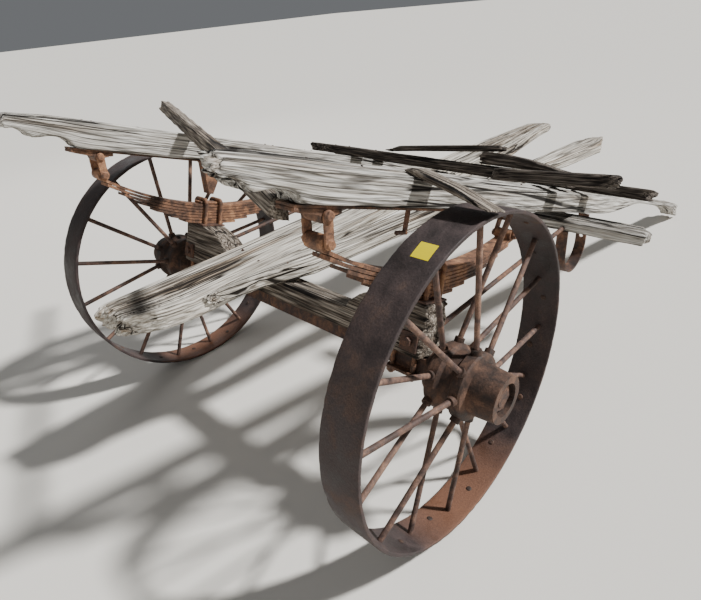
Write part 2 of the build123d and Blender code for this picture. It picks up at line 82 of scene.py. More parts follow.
# Old hardwood left in the sun: silver fibres, brown streaks, fine dark checks and a dull open surface, with painted
# shade in cracks and hollows
def weatheredHardwood(name, look):
    material, tree = startMaterial(name)
    along = addNode(tree, "ShaderNodeAttribute", attribute_name="grain").outputs["Vector"]
    wear = addNode(tree, "ShaderNodeAttribute", attribute_name="wear")

    def stretched(scale, distortion=0.0):
        space = addNode(tree, "ShaderNodeMapping", {"Vector": along, "Scale": scale})
        pattern = addNode(tree, "ShaderNodeTexNoise", {
            "Vector": space.outputs[0], "Scale": 1.0, "Detail": 3.0, "Roughness": 0.55, "Distortion": distortion})
        return pattern.outputs["Fac"]

    # a check is the thin border between cells drawn out along the grain
    def thinLines(scale, width):
        space = addNode(tree, "ShaderNodeMapping", {"Vector": along, "Scale": scale})
        cells = addNode(tree, "ShaderNodeTexVoronoi", {"Vector": space.outputs[0], "Scale": 1.0},
                        feature="DISTANCE_TO_EDGE")
        line = addNode(tree, "ShaderNodeMapRange", {
            "Value": cells.outputs["Distance"], "From Min": width * 0.3, "From Max": width, "To Min": 1.0,
            "To Max": 0.0}, interpolation_type="SMOOTHSTEP")
        return line.outputs[0]

    # across the grain, fine checks lie 12 mm apart, long checks 28 mm, streaks 45 mm and patches 110 mm
    # fibres are drawn 5 mm apart, coarser than real ones, so that they show
    fibres = stretched((7.0, 210.0, 210.0))
    streaks = stretched((1.1, 22.0, 22.0), 0.2)
    fineLines = thinLines((2.6, 84.0, 84.0), 0.13)
    longLines = thinLines((0.8, 36.0, 36.0), 0.075)
    patches = stretched((2.2, 9.0, 9.0))
    gate = addNode(tree, "ShaderNodeMapRange", {
        "Value": patches, "From Min": look["gate"], "From Max": look["gate"] + 0.09}, interpolation_type="SMOOTHSTEP")
    base = addNode(tree, "ShaderNodeValToRGB", {"Fac": fibres})
    setRamp(base, [(0.32, linearColour(look["groove"])), (0.47, linearColour(look["fibre"])),
                   (0.64, linearColour(look["ridge"]))])
    brown = addNode(tree, "ShaderNodeMapRange", {
        "Value": streaks, "From Min": 0.5, "From Max": 0.68, "To Max": look["brownShare"]},
        interpolation_type="SMOOTHSTEP")
    toned = addNode(tree, "ShaderNodeMix", {0: brown.outputs[0], 6: base.outputs[0], 7: linearColour(look["brown"])},
                    data_type="RGBA", blend_type="MULTIPLY")
    # fine checks are strongest in the brown streaks and faint where the wood is cut across
    coming = addNode(tree, "ShaderNodeMapRange", {
        "Value": streaks, "From Min": 0.38, "From Max": 0.6, "To Min": 0.15, "To Max": look["fine"]})
    sawn = addNode(tree, "ShaderNodeAttribute", attribute_name="endGrain")
    sideways = addNode(tree, "ShaderNodeMapRange", {"Value": sawn.outputs["Fac"], "To Min": 1.0, "To Max": 0.25})
    shown = addNode(tree, "ShaderNodeMath", {0: coming.outputs[0], 1: sideways.outputs[0]}, operation="MULTIPLY")
    faint = addNode(tree, "ShaderNodeMath", {0: fineLines, 1: shown.outputs[0]}, operation="MULTIPLY")
    bold = addNode(tree, "ShaderNodeMath", {0: longLines, 1: gate.outputs[0]}, operation="MULTIPLY")
    # painted shade: cracks and hollows are darkened as if shade lay in them
    cavityShade = addNode(tree, "ShaderNodeMapRange", {
        "Value": wear.outputs["Fac"], "From Min": 0.3, "From Max": 1.0, "To Max": 0.9},
        interpolation_type="SMOOTHSTEP")
    lines = addNode(tree, "ShaderNodeMath", {0: faint.outputs[0], 1: bold.outputs[0]}, operation="MAXIMUM")
    checksAndShade = addNode(tree, "ShaderNodeMath", {0: lines.outputs[0], 1: cavityShade.outputs[0]}, operation="MAXIMUM")
    # the colour is pulled toward the check colour by the checks and by the painted shade
    dark = addNode(tree, "ShaderNodeMix", {0: checksAndShade.outputs[0], 6: toned.outputs[2], 7: linearColour(look["check"])},
                   data_type="RGBA")
    height = addNode(tree, "ShaderNodeMath", {0: lines.outputs[0], 1: -1.1, 2: fibres}, operation="MULTIPLY_ADD")
    bump = addNode(tree, "ShaderNodeBump", {"Height": height.outputs[0], "Strength": 0.9, "Distance": 0.004})
    rough = addNode(tree, "ShaderNodeMapRange", {"Value": fibres, "To Min": 0.95, "To Max": 0.8})
    surface = addNode(tree, "ShaderNodeBsdfPrincipled", {
        "Base Color": dark.outputs[2], "Roughness": rough.outputs[0], "Normal": bump.outputs[0], "IOR": 1.5,
        "Specular IOR Level": 0.25})
    addNode(tree, "ShaderNodeOutputMaterial", {"Surface": surface.outputs[0]})
    return material


timberLooks = {
    "grey": {"groove": "#68625b", "fibre": "#aaa59c", "ridge": "#d8d5ce", "brown": "#b3a08c", "brownShare": 0.6,
             "check": "#1a1613", "gate": 0.45, "fine": 0.8},
    "pale": {"groove": "#7d7467", "fibre": "#bbb3a6", "ridge": "#e4dfd4", "brown": "#b39a7f", "brownShare": 0.7,
             "check": "#201a15", "gate": 0.46, "fine": 0.85},
    # brown wood, darkened in part as painted shade, between the lit and the shaded tone of the axle bed and bearers
    "brown": {"groove": "#332b25", "fibre": "#6f655a", "ridge": "#a79d90", "brown": "#96806c", "brownShare": 0.6,
              "check": "#120e0c", "gate": 0.47, "fine": 0.8},
    # painted shade: this look is coloured dark for boards and bearers that stand in shade
    "dark": {"groove": "#1b1715", "fibre": "#453e38", "ridge": "#7c736a", "brown": "#8d7b6b", "brownShare": 0.5,
             "check": "#0b0908", "gate": 0.48, "fine": 0.7},
}


# Iron left outdoors: dull brown scale, a lighter orange bloom in patches, grit and small pits
def rustedIron(name, look):
    material, tree = startMaterial(name)
    # pits are 7 mm and stains 310 mm across, and look["patch"] gives patches of 33 to 90 mm
    # grit is drawn 4 mm across, coarser than real grit, so that it shows
    place = addNode(tree, "ShaderNodeTexCoord").outputs["Object"]
    broad = addNode(tree, "ShaderNodeTexNoise", {
        "Vector": place, "Scale": look["patch"], "Detail": 6.0, "Roughness": 0.66, "Distortion": 0.4})
    fine = addNode(tree, "ShaderNodeTexNoise", {"Vector": place, "Scale": 240.0, "Detail": 4.0, "Roughness": 0.72})
    stain = addNode(tree, "ShaderNodeTexNoise", {"Vector": place, "Scale": 3.2, "Detail": 3.0, "Roughness": 0.5})
    pits = addNode(tree, "ShaderNodeTexVoronoi", {"Vector": place, "Scale": 150.0})
    mixture = addNode(tree, "ShaderNodeMath", {0: stain.outputs["Fac"], 1: 0.55, 2: broad.outputs["Fac"]},
                      operation="MULTIPLY_ADD")
    colour = addNode(tree, "ShaderNodeValToRGB", {"Fac": mixture.outputs[0]})
    setRamp(colour, [(0.58, linearColour(look["scale"])), (0.72, linearColour(look["dull"])),
                     (0.84, linearColour(look["rust"])), (0.97, linearColour(look["bloom"]))])
    painted = colour.outputs[0]
    if "low" in look:
        # painted light: the lowest part of the inside is painted orange, for sun falling on rusty iron there
        damp = addNode(tree, "ShaderNodeAttribute", attribute_name="damp")
        orange = addNode(tree, "ShaderNodeMix", {
            0: damp.outputs["Fac"], 6: painted, 7: linearColour(look["low"])}, data_type="RGBA")
        painted = orange.outputs[2]
    speck = addNode(tree, "ShaderNodeMapRange", {
        "Value": fine.outputs["Fac"], "From Min": 0.32, "From Max": 0.62, "To Min": 0.55, "To Max": 1.12})
    mixed = addNode(tree, "ShaderNodeMix", {0: 0.9, 6: painted, 7: speck.outputs[0]},
                    data_type="RGBA", blend_type="MULTIPLY")
    height = addNode(tree, "ShaderNodeMath", {0: pits.outputs["Distance"], 1: 0.7, 2: fine.outputs["Fac"]},
                     operation="MULTIPLY_ADD")
    bump = addNode(tree, "ShaderNodeBump", {"Height": height.outputs[0], "Strength": 0.5, "Distance": 0.0016})
    rough = addNode(tree, "ShaderNodeMapRange", {
        "Value": broad.outputs["Fac"], "From Min": 0.3, "From Max": 0.7, "To Min": look["shine"], "To Max": 0.9})
    # rust hides most of the bare metal, so little of it is metallic
    surface = addNode(tree, "ShaderNodeBsdfPrincipled", {
        "Base Color": mixed.outputs[2], "Roughness": rough.outputs[0], "Normal": bump.outputs[0],
        "Metallic": look["metal"]})
    addNode(tree, "ShaderNodeOutputMaterial", {"Surface": surface.outputs[0]})
    return material


ironLooks = {
    # painted light: the tyre's low colour is an orange for sun on the rusty lowest inside
    "tyre": {"scale": "#2a2322", "dull": "#392f2e", "rust": "#463a38", "bloom": "#5a4840", "low": "#7b533c",
             "patch": 11.0, "metal": 0.25, "shine": 0.45},
    "hub": {"scale": "#1f1612", "dull": "#35261e", "rust": "#4e382c", "bloom": "#6f5241", "patch": 20.0,
            "metal": 0.1, "shine": 0.6},
    "hanger": {"scale": "#2b1f18", "dull": "#4a362a", "rust": "#6f503d", "bloom": "#966e54", "patch": 24.0,
               "metal": 0.1, "shine": 0.6},
    "spoke": {"scale": "#33261f", "dull": "#54413a", "rust": "#74594b", "bloom": "#93735f", "patch": 26.0,
              "metal": 0.1, "shine": 0.58},
    "spring": {"scale": "#35251c", "dull": "#5f4536", "rust": "#876047", "bloom": "#ae825f", "patch": 30.0,
               "metal": 0.1, "shine": 0.6},
    "plain": {"scale": "#251b17", "dull": "#40302a", "rust": "#5d4437", "bloom": "#835f4a", "patch": 28.0,
              "metal": 0.12, "shine": 0.6},
}
iron = {name: rustedIron(name + " iron with brown rust", look) for name, look in ironLooks.items()}
timber = {name: weatheredHardwood(name + " weathered hardwood", look) for name, look in timberLooks.items()}

# Iron that keeps the frame's own shape; what isn't named here is plain
finishes = {"spokes": "spoke", "hub": "hub", "rail_strap": "hanger", "bump_iron": "spring", "clip_bolts": "spring"}
for name, piece in nodes.items():
    plain = name.replace("near_", "").replace("far_", "")
    piece.data.materials.clear()
    piece.data.materials.append(iron[finishes.get(plain, "plain")])
print("stage: frame painted")


def newPiece(name, mesh, material, body, replaced=()):
    mesh.materials.clear()
    mesh.materials.append(material)
    piece = bpy.data.objects.new(name, mesh)
    bpy.context.collection.objects.link(piece)
    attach(piece, body)
    if replaced:
        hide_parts(*replaced)


def mergedCopy(nodeName):
    shape = bmesh.new()
    shape.from_mesh(nodes[nodeName].data)
    bmesh.ops.remove_doubles(shape, verts=shape.verts, dist=0.00002)
    return shape


# The grain follows a timber's longest edge, and its widest face lies across
def grainFrame(shape):
    longest = max(shape.edges, key=lambda edge: edge.calc_length())
    along = (longest.verts[1].co - longest.verts[0].co).normalized()
    if along.x + 0.5 * along.y < 0:
        along.negate()
    sides = [face for face in shape.faces if abs(face.normal.dot(along)) < 0.2]
    widest = max(sides, key=lambda face: face.calc_area()).normal
    across = (widest - along * widest.dot(along)).normalized()
    return Matrix((along, across.cross(along), across)).to_4x4()


def meshFrom(shape, name):
    mesh = bpy.data.meshes.new(name)
    shape.to_mesh(mesh)
    shape.free()
    return mesh


def smoothMesh(shape, name):
    for face in shape.faces:
        face.smooth = True
    return meshFrom(shape, name)


# One even skin over the timber, with cells longer along the grain
def gridSkin(shape, turn, cell, stretch):
    squeeze = Matrix.Diagonal((1 / stretch, 1, 1, 1)) @ turn
    bmesh.ops.transform(shape, matrix=squeeze, verts=shape.verts)
    draft = bpy.data.objects.new("draft", meshFrom(shape, "draft"))
    bpy.context.collection.objects.link(draft)
    skin = draft.modifiers.new("skin", "REMESH")
    skin.mode = "VOXEL"
    skin.voxel_size = cell
    skin.adaptivity = 0.0
    graph = bpy.context.evaluated_depsgraph_get()
    mesh = bpy.data.meshes.new_from_object(draft.evaluated_get(graph))
    bpy.data.objects.remove(draft)
    result = bmesh.new()
    result.from_mesh(mesh)
    bpy.data.meshes.remove(mesh)
    bmesh.ops.smooth_vert(result, verts=result.verts, factor=0.5, use_axis_x=True, use_axis_y=True, use_axis_z=True)
    bmesh.ops.transform(result, matrix=Matrix.Diagonal((stretch, 1, 1, 1)), verts=result.verts)
    result.normal_update()
    return result


# Fibres follow a timber's own outline, so a place is measured against the section it lies in
def outlineGuide(verts):
    low = min(vert.co.x for vert in verts)
    high = max(vert.co.x for vert in verts)
    # the section is measured about every 40 mm and evened out with its neighbours
    count = max(6, int((high - low) / 0.04))
    rows = [[9.0, -9.0, 9.0, -9.0] for index in range(count + 1)]
    for vert in verts:
        row = rows[round((vert.co.x - low) / (high - low) * count)]
        row[0], row[1] = min(row[0], vert.co.y), max(row[1], vert.co.y)
        row[2], row[3] = min(row[2], vert.co.z), max(row[3], vert.co.z)
    for sweep in range(3):
        rows = [[sum(rows[min(count, max(0, index + step))][side] for step in (-1, 0, 1)) / 3 for side in range(4)]
                for index in range(count + 1)]
    wide = sum(row[1] - row[0] for row in rows) / len(rows)
    tall = sum(row[3] - row[2] for row in rows) / len(rows)

    def followed(place):
        step = min(count - 0.001, max(0.0, (place.x - low) / (high - low) * count))
        before, after, share = rows[int(step)], rows[int(step) + 1], step - int(step)
        left, right, base, top = [before[side] + (after[side] - before[side]) * share for side in range(4)]
        return Vector((place.x, (place.y - (left + right) / 2) * wide / max(0.02, right - left),
                       (place.z - (base + top) / 2) * tall / max(0.02, top - base)))

    return followed


# Depths in metres, and noise scales along and across the grain
weathering = {
    "least": 0.0005,
    "fibre": {"depth": 0.0018, "scale": (3, 95)},  # 11 mm apart
    "crack": {"depth": 0.0055, "scale": (0.8, 26), "width": 0.035, "spread": 0.04},  # 38 mm apart
    "patch": {"scale": (2.2, 7), "least": 0.75, "gain": 2.0},  # where cracks open and where they close
    # painted shade: hollows deeper than the threshold given here are darkened by the amount given here
    "hollow": {"depth": 0.003, "scale": (2.6, 9), "dark": 0.6, "shadow": 0.4},  # 110 mm apart
    "chip": {"scale": (9, 3), "share": 0.3},
}


def grainNoise(place, scale, shift, lift=0.0):
    along, across = scale
    return noise.noise(Vector((place.x * along + shift, place.y * across + lift, place.z * across)))


# How far the weather has eaten into the wood at a place, and how much painted shade darkens it in cracks and hollows
def decay(place, normal, wear, seed):
    fibre, crack, patch, hollow, chip = [weathering[part] for part in ("fibre", "crack", "patch", "hollow", "chip")]
    fibreAt = grainNoise(place, fibre["scale"], seed)
    splitAt = grainNoise(place, crack["scale"], seed * 2)
    patchAt = grainNoise(place, patch["scale"], -seed)
    hollowAt = grainNoise(place, hollow["scale"], seed, 3)
    width = crack["width"] + crack["spread"] * max(0.0, patchAt)
    openness = min(1.0, max(0.0, patch["least"] + patch["gain"] * patchAt))
    crackAt = max(0.0, 1 - abs(splitAt) / width) * openness
    edge = max(0.0, 1 - max(abs(normal.y), abs(normal.z), abs(normal.x)))
    alongChip, acrossChip = chip["scale"]
    chipSpot = Vector((place.x * alongChip, place.y * acrossChip + seed, place.z * acrossChip))
    chipAt = edge * max(0.0, chip["share"] + noise.noise(chipSpot))
    depth = weathering["least"] + fibre["depth"] * (0.5 + fibreAt) + crack["depth"] * crackAt * crackAt
    depth = depth + hollow["depth"] * max(0.0, hollowAt) + wear["chip"] * chipAt
    # painted shade: cracks and the deeper hollows are marked dark
    cavityShade = crackAt * crackAt + hollow["dark"] * max(0.0, hollowAt - hollow["shadow"])
    return depth * wear["all"], min(1.0, cavityShade)


strands = {"wide": 30, "splinter": 95, "lost": 0.9, "finer": 0.4}  # strands 33 mm wide, splinters 11 mm


# Broken ends: each strand of the grain stops at its own place, so the end stays ragged
def raggedEnd(place, low, high, wear, seed):
    x, y, z = place
    reach = min(wear["reach"], (high - low) * 0.3)
    nearest = min(x - low, high - x)
    if nearest >= reach:
        return 0.0
    inward = 1.0 if x - low < high - x else -1.0
    strand = 0.5 + strands["lost"] * noise.noise(Vector((y * strands["wide"] + seed, z * strands["wide"], inward)))
    fine = Vector((y * strands["splinter"], z * strands["splinter"] + seed, inward))
    splinter = strands["finer"] * noise.noise(fine)
    lost = wear["end"] * min(1.0, max(0.0, strand + splinter))
    return inward * lost * (1 - nearest / reach)


timberSkin = {"cell": 0.0048, "stretch": 2.4}


def wornTimber(nodeName, look, wear, seed):
    shape = mergedCopy(nodeName)
    turn = grainFrame(shape)
    skin = gridSkin(shape, turn, timberSkin["cell"], timberSkin["stretch"])
    grainLayer = skin.verts.layers.float_vector.new("grain")
    cavityShadeLayer = skin.verts.layers.float.new("wear")
    endLayer = skin.verts.layers.float.new("endGrain")
    low = min(vert.co.x for vert in skin.verts)
    high = max(vert.co.x for vert in skin.verts)
    followed = outlineGuide(skin.verts) if wear.get("follow", True) else Vector
    moves = []
    for vert in skin.verts:
        place = followed(vert.co)
        depth, cavityShade = decay(place, vert.normal, wear, seed)
        # the seed shifts the pattern, so no two timbers share it
        vert[grainLayer] = place + Vector((seed * 3.1, seed * 0.37, 0))
        # painted shade for cracks and hollows
        vert[cavityShadeLayer] = cavityShade
        # 1 where the wood is cut across the grain
        vert[endLayer] = min(1.0, max(0.0, (abs(vert.normal.x) - 0.6) * 4))
        moves.append(Vector((raggedEnd(vert.co, low, high, wear, seed), 0, 0)) - vert.normal * depth)
    for vert, move in zip(skin.verts, moves):
        vert.co += move
    bmesh.ops.transform(skin, matrix=turn.inverted(), verts=skin.verts)
    mesh = smoothMesh(skin, nodeName + "Worn")
    newPiece(nodeName + "Worn", mesh, timber[look], "chassis", (nodeName,))


# "all" scales the depth, "chip" the eaten corners, "end" what broken ends lose within "reach", in metres
# "follow" set to False keeps the grain straight where the outline rises and falls
sound = {"all": 1.0, "chip": 0.03, "end": 0.014, "reach": 0.1}
torn = {"all": 1.1, "chip": 0.035, "end": 0.04, "reach": 0.18}
thin = {"all": 0.7, "chip": 0.04, "end": 0.05, "reach": 0.2}
timbers = {
    "near_rail": ("grey", "grey_timber", torn),
    "far_rail": ("grey", "grey_timber", sound),
    # the axle bed and the broken and loose bearers take the brown look, darkened in part as painted shade
    "axle_bed": ("brown", "grey_timber", {**sound, "follow": False}),
    "rear_bearer": ("grey", "grey_timber", sound),
    # painted shade: the upper bearer and the boards below take the look that is darkened for shade
    "upper_bearer": ("dark", "grey_timber", torn),
    "cross_board": ("dark", "dark_timber", torn),
    "stacked_board": ("dark", "dark_timber", thin),
    "leaning_board": ("dark", "grey_timber", thin),
    "tilted_board": ("dark", "dark_timber", thin),
    "broken_bearer": ("brown", "grey_timber", {"all": 0.35, "chip": 0.03, "end": 0.014, "reach": 0.08}),
    "loose_bearer": ("brown", "dark_timber", {"all": 0.8, "chip": 0.03, "end": 0.03, "reach": 0.12}),
    "long_plank_one": ("pale", "pale_timber", {**torn, "chip": 0.02}),
    "long_plank_two": ("pale", "pale_timber", {**torn, "chip": 0.02}),
}
for index, (nodeName, (look, slotName, wear)) in enumerate(timbers.items()):
    seed = 1.7 * index + 0.6
    wornTimber(nodeName, look, wear, seed)
print("stage: timbers worn")

# Tyres turned smooth, with nicked corners
tyreShape = {"radius": 0.508, "wall": 0.012, "half": 0.0635, "corner": 0.0025, "steps": 400, "cell": 0.012}
# depths in metres; the faces wear in places 56 mm apart and the corners in nicks 19 mm apart
tyreWear = {"least": 0.0004, "face": 0.0006, "nick": 0.0022, "edge": 0.008, "inside": 0.4, "scale": (9, 14)}
# painted light: the inside is painted orange for sun on rusty iron, from 100 mm above the floor down to full colour
# at 15 mm
tyreSunlitPatch = {"top": 0.1, "fade": 0.085, "share": 0.8}


def wornTyre(side):
    centre = wheelPlaces[side]
    outer = tyreShape["radius"]
    inner = outer - tyreShape["wall"]
    half = tyreShape["half"]
    corner = tyreShape["corner"]
    # the section's four rounded corners, then points along its sides
    profile = []
    for u, v, start in ((outer, half, 0), (inner, half, 90), (inner, -half, 180), (outer, -half, 270)):
        inwardU = -corner if u == outer else corner
        inwardV = -corner if v > 0 else corner
        for step in range(4):
            angle = math.radians(start + step * 30)
            profile.append((u + inwardU + corner * math.cos(angle), v + inwardV + corner * math.sin(angle)))
    filled = []
    for index, (u, v) in enumerate(profile):
        nextU, nextV = profile[(index + 1) % len(profile)]
        filled.append((u, v))
        pieces = int(math.hypot(nextU - u, nextV - v) / tyreShape["cell"])
        for step in range(1, pieces):
            filled.append((u + (nextU - u) * step / pieces, v + (nextV - v) * step / pieces))
    around, across = tyreWear["scale"]
    shape = bmesh.new()
    paintedSunlightLayer = shape.verts.layers.float.new("damp")
    rings = []
    for step in range(tyreShape["steps"]):
        angle = 2 * math.pi * step / tyreShape["steps"]
        ring = []
        for u, v in filled:
            atEdge = max(0.0, abs(v) - half + tyreWear["edge"]) / tyreWear["edge"]
            spot = Vector((math.cos(angle) * around, math.sin(angle) * around, v * across))
            nick = tyreWear["least"] + tyreWear["face"] * max(0.0, noise.noise(spot))
            nick = nick + tyreWear["nick"] * atEdge * max(0.0, noise.noise(spot * 3))
            radius = u - nick if u > inner + tyreShape["wall"] / 2 else u + nick * tyreWear["inside"]
            shift = -math.copysign(tyreWear["inside"] * nick, v)
            vert = shape.verts.new((radius * math.cos(angle), v + shift, radius * math.sin(angle)))
            height = centre.z + radius * math.sin(angle)
            sunlit = min(1.0, max(0.0, (tyreSunlitPatch["top"] - height) / tyreSunlitPatch["fade"]))
            # painted light, only on the inside of the tyre
            vert[paintedSunlightLayer] = 0.0 if u > inner + tyreShape["wall"] * 0.75 else tyreSunlitPatch["share"] * sunlit
            ring.append(vert)
        rings.append(ring)
    for index, ring in enumerate(rings):
        following = rings[(index + 1) % len(rings)]
        for spot in range(len(ring)):
            after = (spot + 1) % len(ring)
            shape.faces.new((ring[spot], following[spot], following[after], ring[after]))
    bmesh.ops.recalc_face_normals(shape, faces=shape.faces)
    bmesh.ops.translate(shape, vec=centre, verts=shape.verts)
    mesh = smoothMesh(shape, side + "TyreWorn")
    newPiece(side + "TyreWorn", mesh, iron["tyre"], side + "_wheel", (side + "_tyre",))


for side in wheelPlaces:
    wornTyre(side)
print("stage: tyres turned")

# Small irons get a corroded skin: corners eaten round and faces a little uneven
corrodedIron = {
    "front_hanger": {"look": "hanger", "cell": 0.0018, "eaten": 0.0007},
    "rear_hanger": {"look": "hanger", "cell": 0.0018, "eaten": 0.0007},
    "front_shackle": {"look": "spring", "cell": 0.0016, "eaten": 0.0005},
    "rear_shackle": {"look": "spring", "cell": 0.0016, "eaten": 0.0005},
    "clip_plates": {"look": "spring", "cell": 0.0018, "eaten": 0.0006},
}
# shares of "eaten"; broad hollows lie 14 mm apart and fine ones 4 mm
corrosion = {"least": 0.15, "broad": 0.6, "broadScale": 70, "fine": 0.4, "fineScale": 260}
for plain, skinShape in corrodedIron.items():
    for side in wheelPlaces:
        nodeName = side + "_" + plain
        skin = gridSkin(mergedCopy(nodeName), Matrix.Identity(4), skinShape["cell"], 1.0)
        moves = []
        for vert in skin.verts:
            broad = max(0.0, 0.5 + noise.noise(vert.co * corrosion["broadScale"]))
            fine = max(0.0, 0.5 + noise.noise(vert.co * corrosion["fineScale"]))
            share = corrosion["least"] + corrosion["broad"] * broad + corrosion["fine"] * fine
            moves.append(vert.normal * (skinShape["eaten"] * share))
        for vert, move in zip(skin.verts, moves):
            vert.co -= move
        newPiece(nodeName + "Corroded", smoothMesh(skin, nodeName + "Corroded"), iron[skinShape["look"]], "chassis",
                 (nodeName,))

# Spring leaves drawn in a little all round, so that a dark line stays between them
leafWear = {"drawn": 0.0007, "uneven": 0.35, "scale": 60}  # uneven in places 17 mm apart
for nodeName in ("near_spring", "far_spring"):
    shape = mergedCopy(nodeName)
    shape.normal_update()
    moves = []
    for vert in shape.verts:
        facings = []
        for face in vert.link_faces:
            if all(face.normal.dot(known) < 0.9 for known in facings):
                facings.append(face.normal.copy())
        move = sum(facings, Vector((0, 0, 0)))
        share = sum(move.dot(facing) for facing in facings) / max(1, len(facings))
        rough = 1 + leafWear["uneven"] * noise.noise(vert.co * leafWear["scale"])
        moves.append(move * (leafWear["drawn"] * rough / max(0.5, share)))
    for vert, move in zip(shape.verts, moves):
        vert.co -= move
    newPiece(nodeName + "Leaves", meshFrom(shape, nodeName + "Leaves"), iron["spring"], "chassis",
             (nodeName,))
print("stage: small irons corroded")


# Small heads scattered from points: one node group serves nails, bolt heads and rivet marks
def buildHeads():
    group = bpy.data.node_groups.new("hammered heads", "GeometryNodeTree")
    wanted = {"Points": "Geometry", "Head Radius": "Float", "Head Height": "Float", "Size Spread": "Float",
              "Corners": "Int", "Seed": "Int", "Finish": "Material"}
    for socketName, kind in wanted.items():
        group.interface.new_socket(socketName, in_out="INPUT", socket_type="NodeSocket" + kind)
    group.interface.new_socket("Heads", in_out="OUTPUT", socket_type="NodeSocketGeometry")
    start = addNode(group, "NodeGroupInput").outputs
    points = addNode(group, "GeometryNodeMeshToPoints", {"Mesh": start["Points"]})
    head = addNode(group, "GeometryNodeMeshCone", {
        "Vertices": start["Corners"], "Radius Top": 0.62, "Radius Bottom": 1.0, "Depth": 1.0, "Side Segments": 1})
    facing = addNode(group, "GeometryNodeInputNamedAttribute", {"Name": "facing"}, data_type="FLOAT_VECTOR")
    turned = addNode(group, "FunctionNodeAlignRotationToVector", {"Vector": facing.outputs["Attribute"]}, axis="Z")
    spin = addNode(group, "FunctionNodeRandomValue", {"Seed": start["Seed"]}, data_type="FLOAT")
    spin.inputs[3].default_value = 6.283  # a full turn
    spinAngle = addNode(group, "ShaderNodeCombineXYZ", {"Z": spin.outputs[1]})
    spinTurn = addNode(group, "FunctionNodeEulerToRotation", {"Euler": spinAngle.outputs[0]})
    rotation = addNode(group, "FunctionNodeRotateRotation", {
        "Rotation": turned.outputs[0], "Rotate By": spinTurn.outputs[0]}, rotation_space="LOCAL")
    least = addNode(group, "ShaderNodeMath", {0: 1.0, 1: start["Size Spread"]}, operation="SUBTRACT")
    spread = addNode(group, "FunctionNodeRandomValue", {
        2: least.outputs[0], "Seed": start["Seed"]}, data_type="FLOAT")
    spread.inputs[3].default_value = 1.0
    wide = addNode(group, "ShaderNodeMath", {0: start["Head Radius"], 1: spread.outputs[1]}, operation="MULTIPLY")
    tall = addNode(group, "ShaderNodeMath", {0: start["Head Height"], 1: spread.outputs[1]}, operation="MULTIPLY")
    size = addNode(group, "ShaderNodeCombineXYZ", {"X": wide.outputs[0], "Y": wide.outputs[0], "Z": tall.outputs[0]})
    placed = addNode(group, "GeometryNodeInstanceOnPoints", {
        "Points": points.outputs[0], "Instance": head.outputs["Mesh"], "Rotation": rotation.outputs[0],
        "Scale": size.outputs[0]})
    real = addNode(group, "GeometryNodeRealizeInstances", {0: placed.outputs[0]})
    painted = addNode(group, "GeometryNodeSetMaterial", {"Geometry": real.outputs[0], "Material": start["Finish"]})
    addNode(group, "NodeGroupOutput", {"Heads": painted.outputs[0]})
    return group


headGroup = buildHeads()
headInputs = {item.name: item.identifier for item in headGroup.interface.items_tree if item.in_out == "INPUT"}


def placeHeads(name, spots, body, sizes, finish):
    mesh = bpy.data.meshes.new(name + "Points")
    mesh.from_pydata([spot for spot, direction in spots], [], [])
    facing = mesh.attributes.new("facing", "FLOAT_VECTOR", "POINT")
    for index, (spot, direction) in enumerate(spots):
        facing.data[index].vector = direction
    holder = bpy.data.objects.new(name + "Points", mesh)
    bpy.context.collection.objects.link(holder)
    heads = holder.modifiers.new("heads", "NODES")
    heads.node_group = headGroup
    for inputName, value in sizes.items():
        heads[headInputs[inputName]] = value
    heads[headInputs["Finish"]] = finish
    graph = bpy.context.evaluated_depsgraph_get()
    result = bpy.data.meshes.new_from_object(holder.evaluated_get(graph))
    bpy.data.objects.remove(holder)
    newPiece(name, result, finish, body)


# Rivet marks round the inside of each tyre, between the spokes
rivetShape = {"count": 16, "inner": 0.4952, "first": {"near": 17.0, "far": 8.0}, "shift": 0.012}
rivetHead = {"Head Radius": 0.0115, "Head Height": 0.0028, "Size Spread": 0.25, "Corners": 12, "Seed": 4}
for side, centre in wheelPlaces.items():
    spots = []
    for index in range(rivetShape["count"]):
        angle = math.radians(rivetShape["first"][side] + index * 360 / rivetShape["count"])
        outward = Vector((math.cos(angle), 0, math.sin(angle)))
        shift = Vector((0, rivetShape["shift"] * (1 if index % 2 else -1), 0))
        spots.append((centre + outward * rivetShape["inner"] + shift, -outward))
    placeHeads(side + "TyreRivets", spots, side + "_wheel", rivetHead, iron["hub"])


# From the middle of the axle, u runs along the rails and w stands off them
def chassisPlace(u, y, w):
    return axleMiddle + Vector((u * math.cos(railTilt) - w * math.sin(railTilt), y,
                                u * math.sin(railTilt) + w * math.cos(railTilt)))


# Nails and bolt heads on the tops of the rails and boards
deckUp = Vector((-math.sin(railTilt), 0, math.cos(railTilt)))
railNails = {"across": (-0.61, -0.565, 0.565), "along": (-2.2, -1.75, -1.42, -0.55, -0.3, 0.02, 0.33, 0.52),
             "far": 0.5645, "near": 0.56}
boardNails = {"tops": ((-1.062, 0.6065), (-0.879, 0.6135)), "across": (-0.72, -0.6, -0.42, 0.1)}
timberNail = {"Head Radius": 0.0062, "Head Height": 0.006, "Size Spread": 0.4, "Corners": 9, "Seed": 7}
nailRandom = random.Random(11)
nailSpots = []
for y in railNails["across"]:
    for u in railNails["along"]:
        jitter = nailRandom.uniform(-0.02, 0.02)
        top = railNails["near" if y > 0 else "far"]
        nailSpots.append((chassisPlace(u + jitter, y + jitter * 0.5, top), deckUp))
for u, w in boardNails["tops"]:
    for y in boardNails["across"]:
        nailSpots.append((chassisPlace(u + nailRandom.uniform(-0.02, 0.02), y, w), deckUp))
placeHeads("timberNails", nailSpots, "chassis", timberNail, iron["hub"])

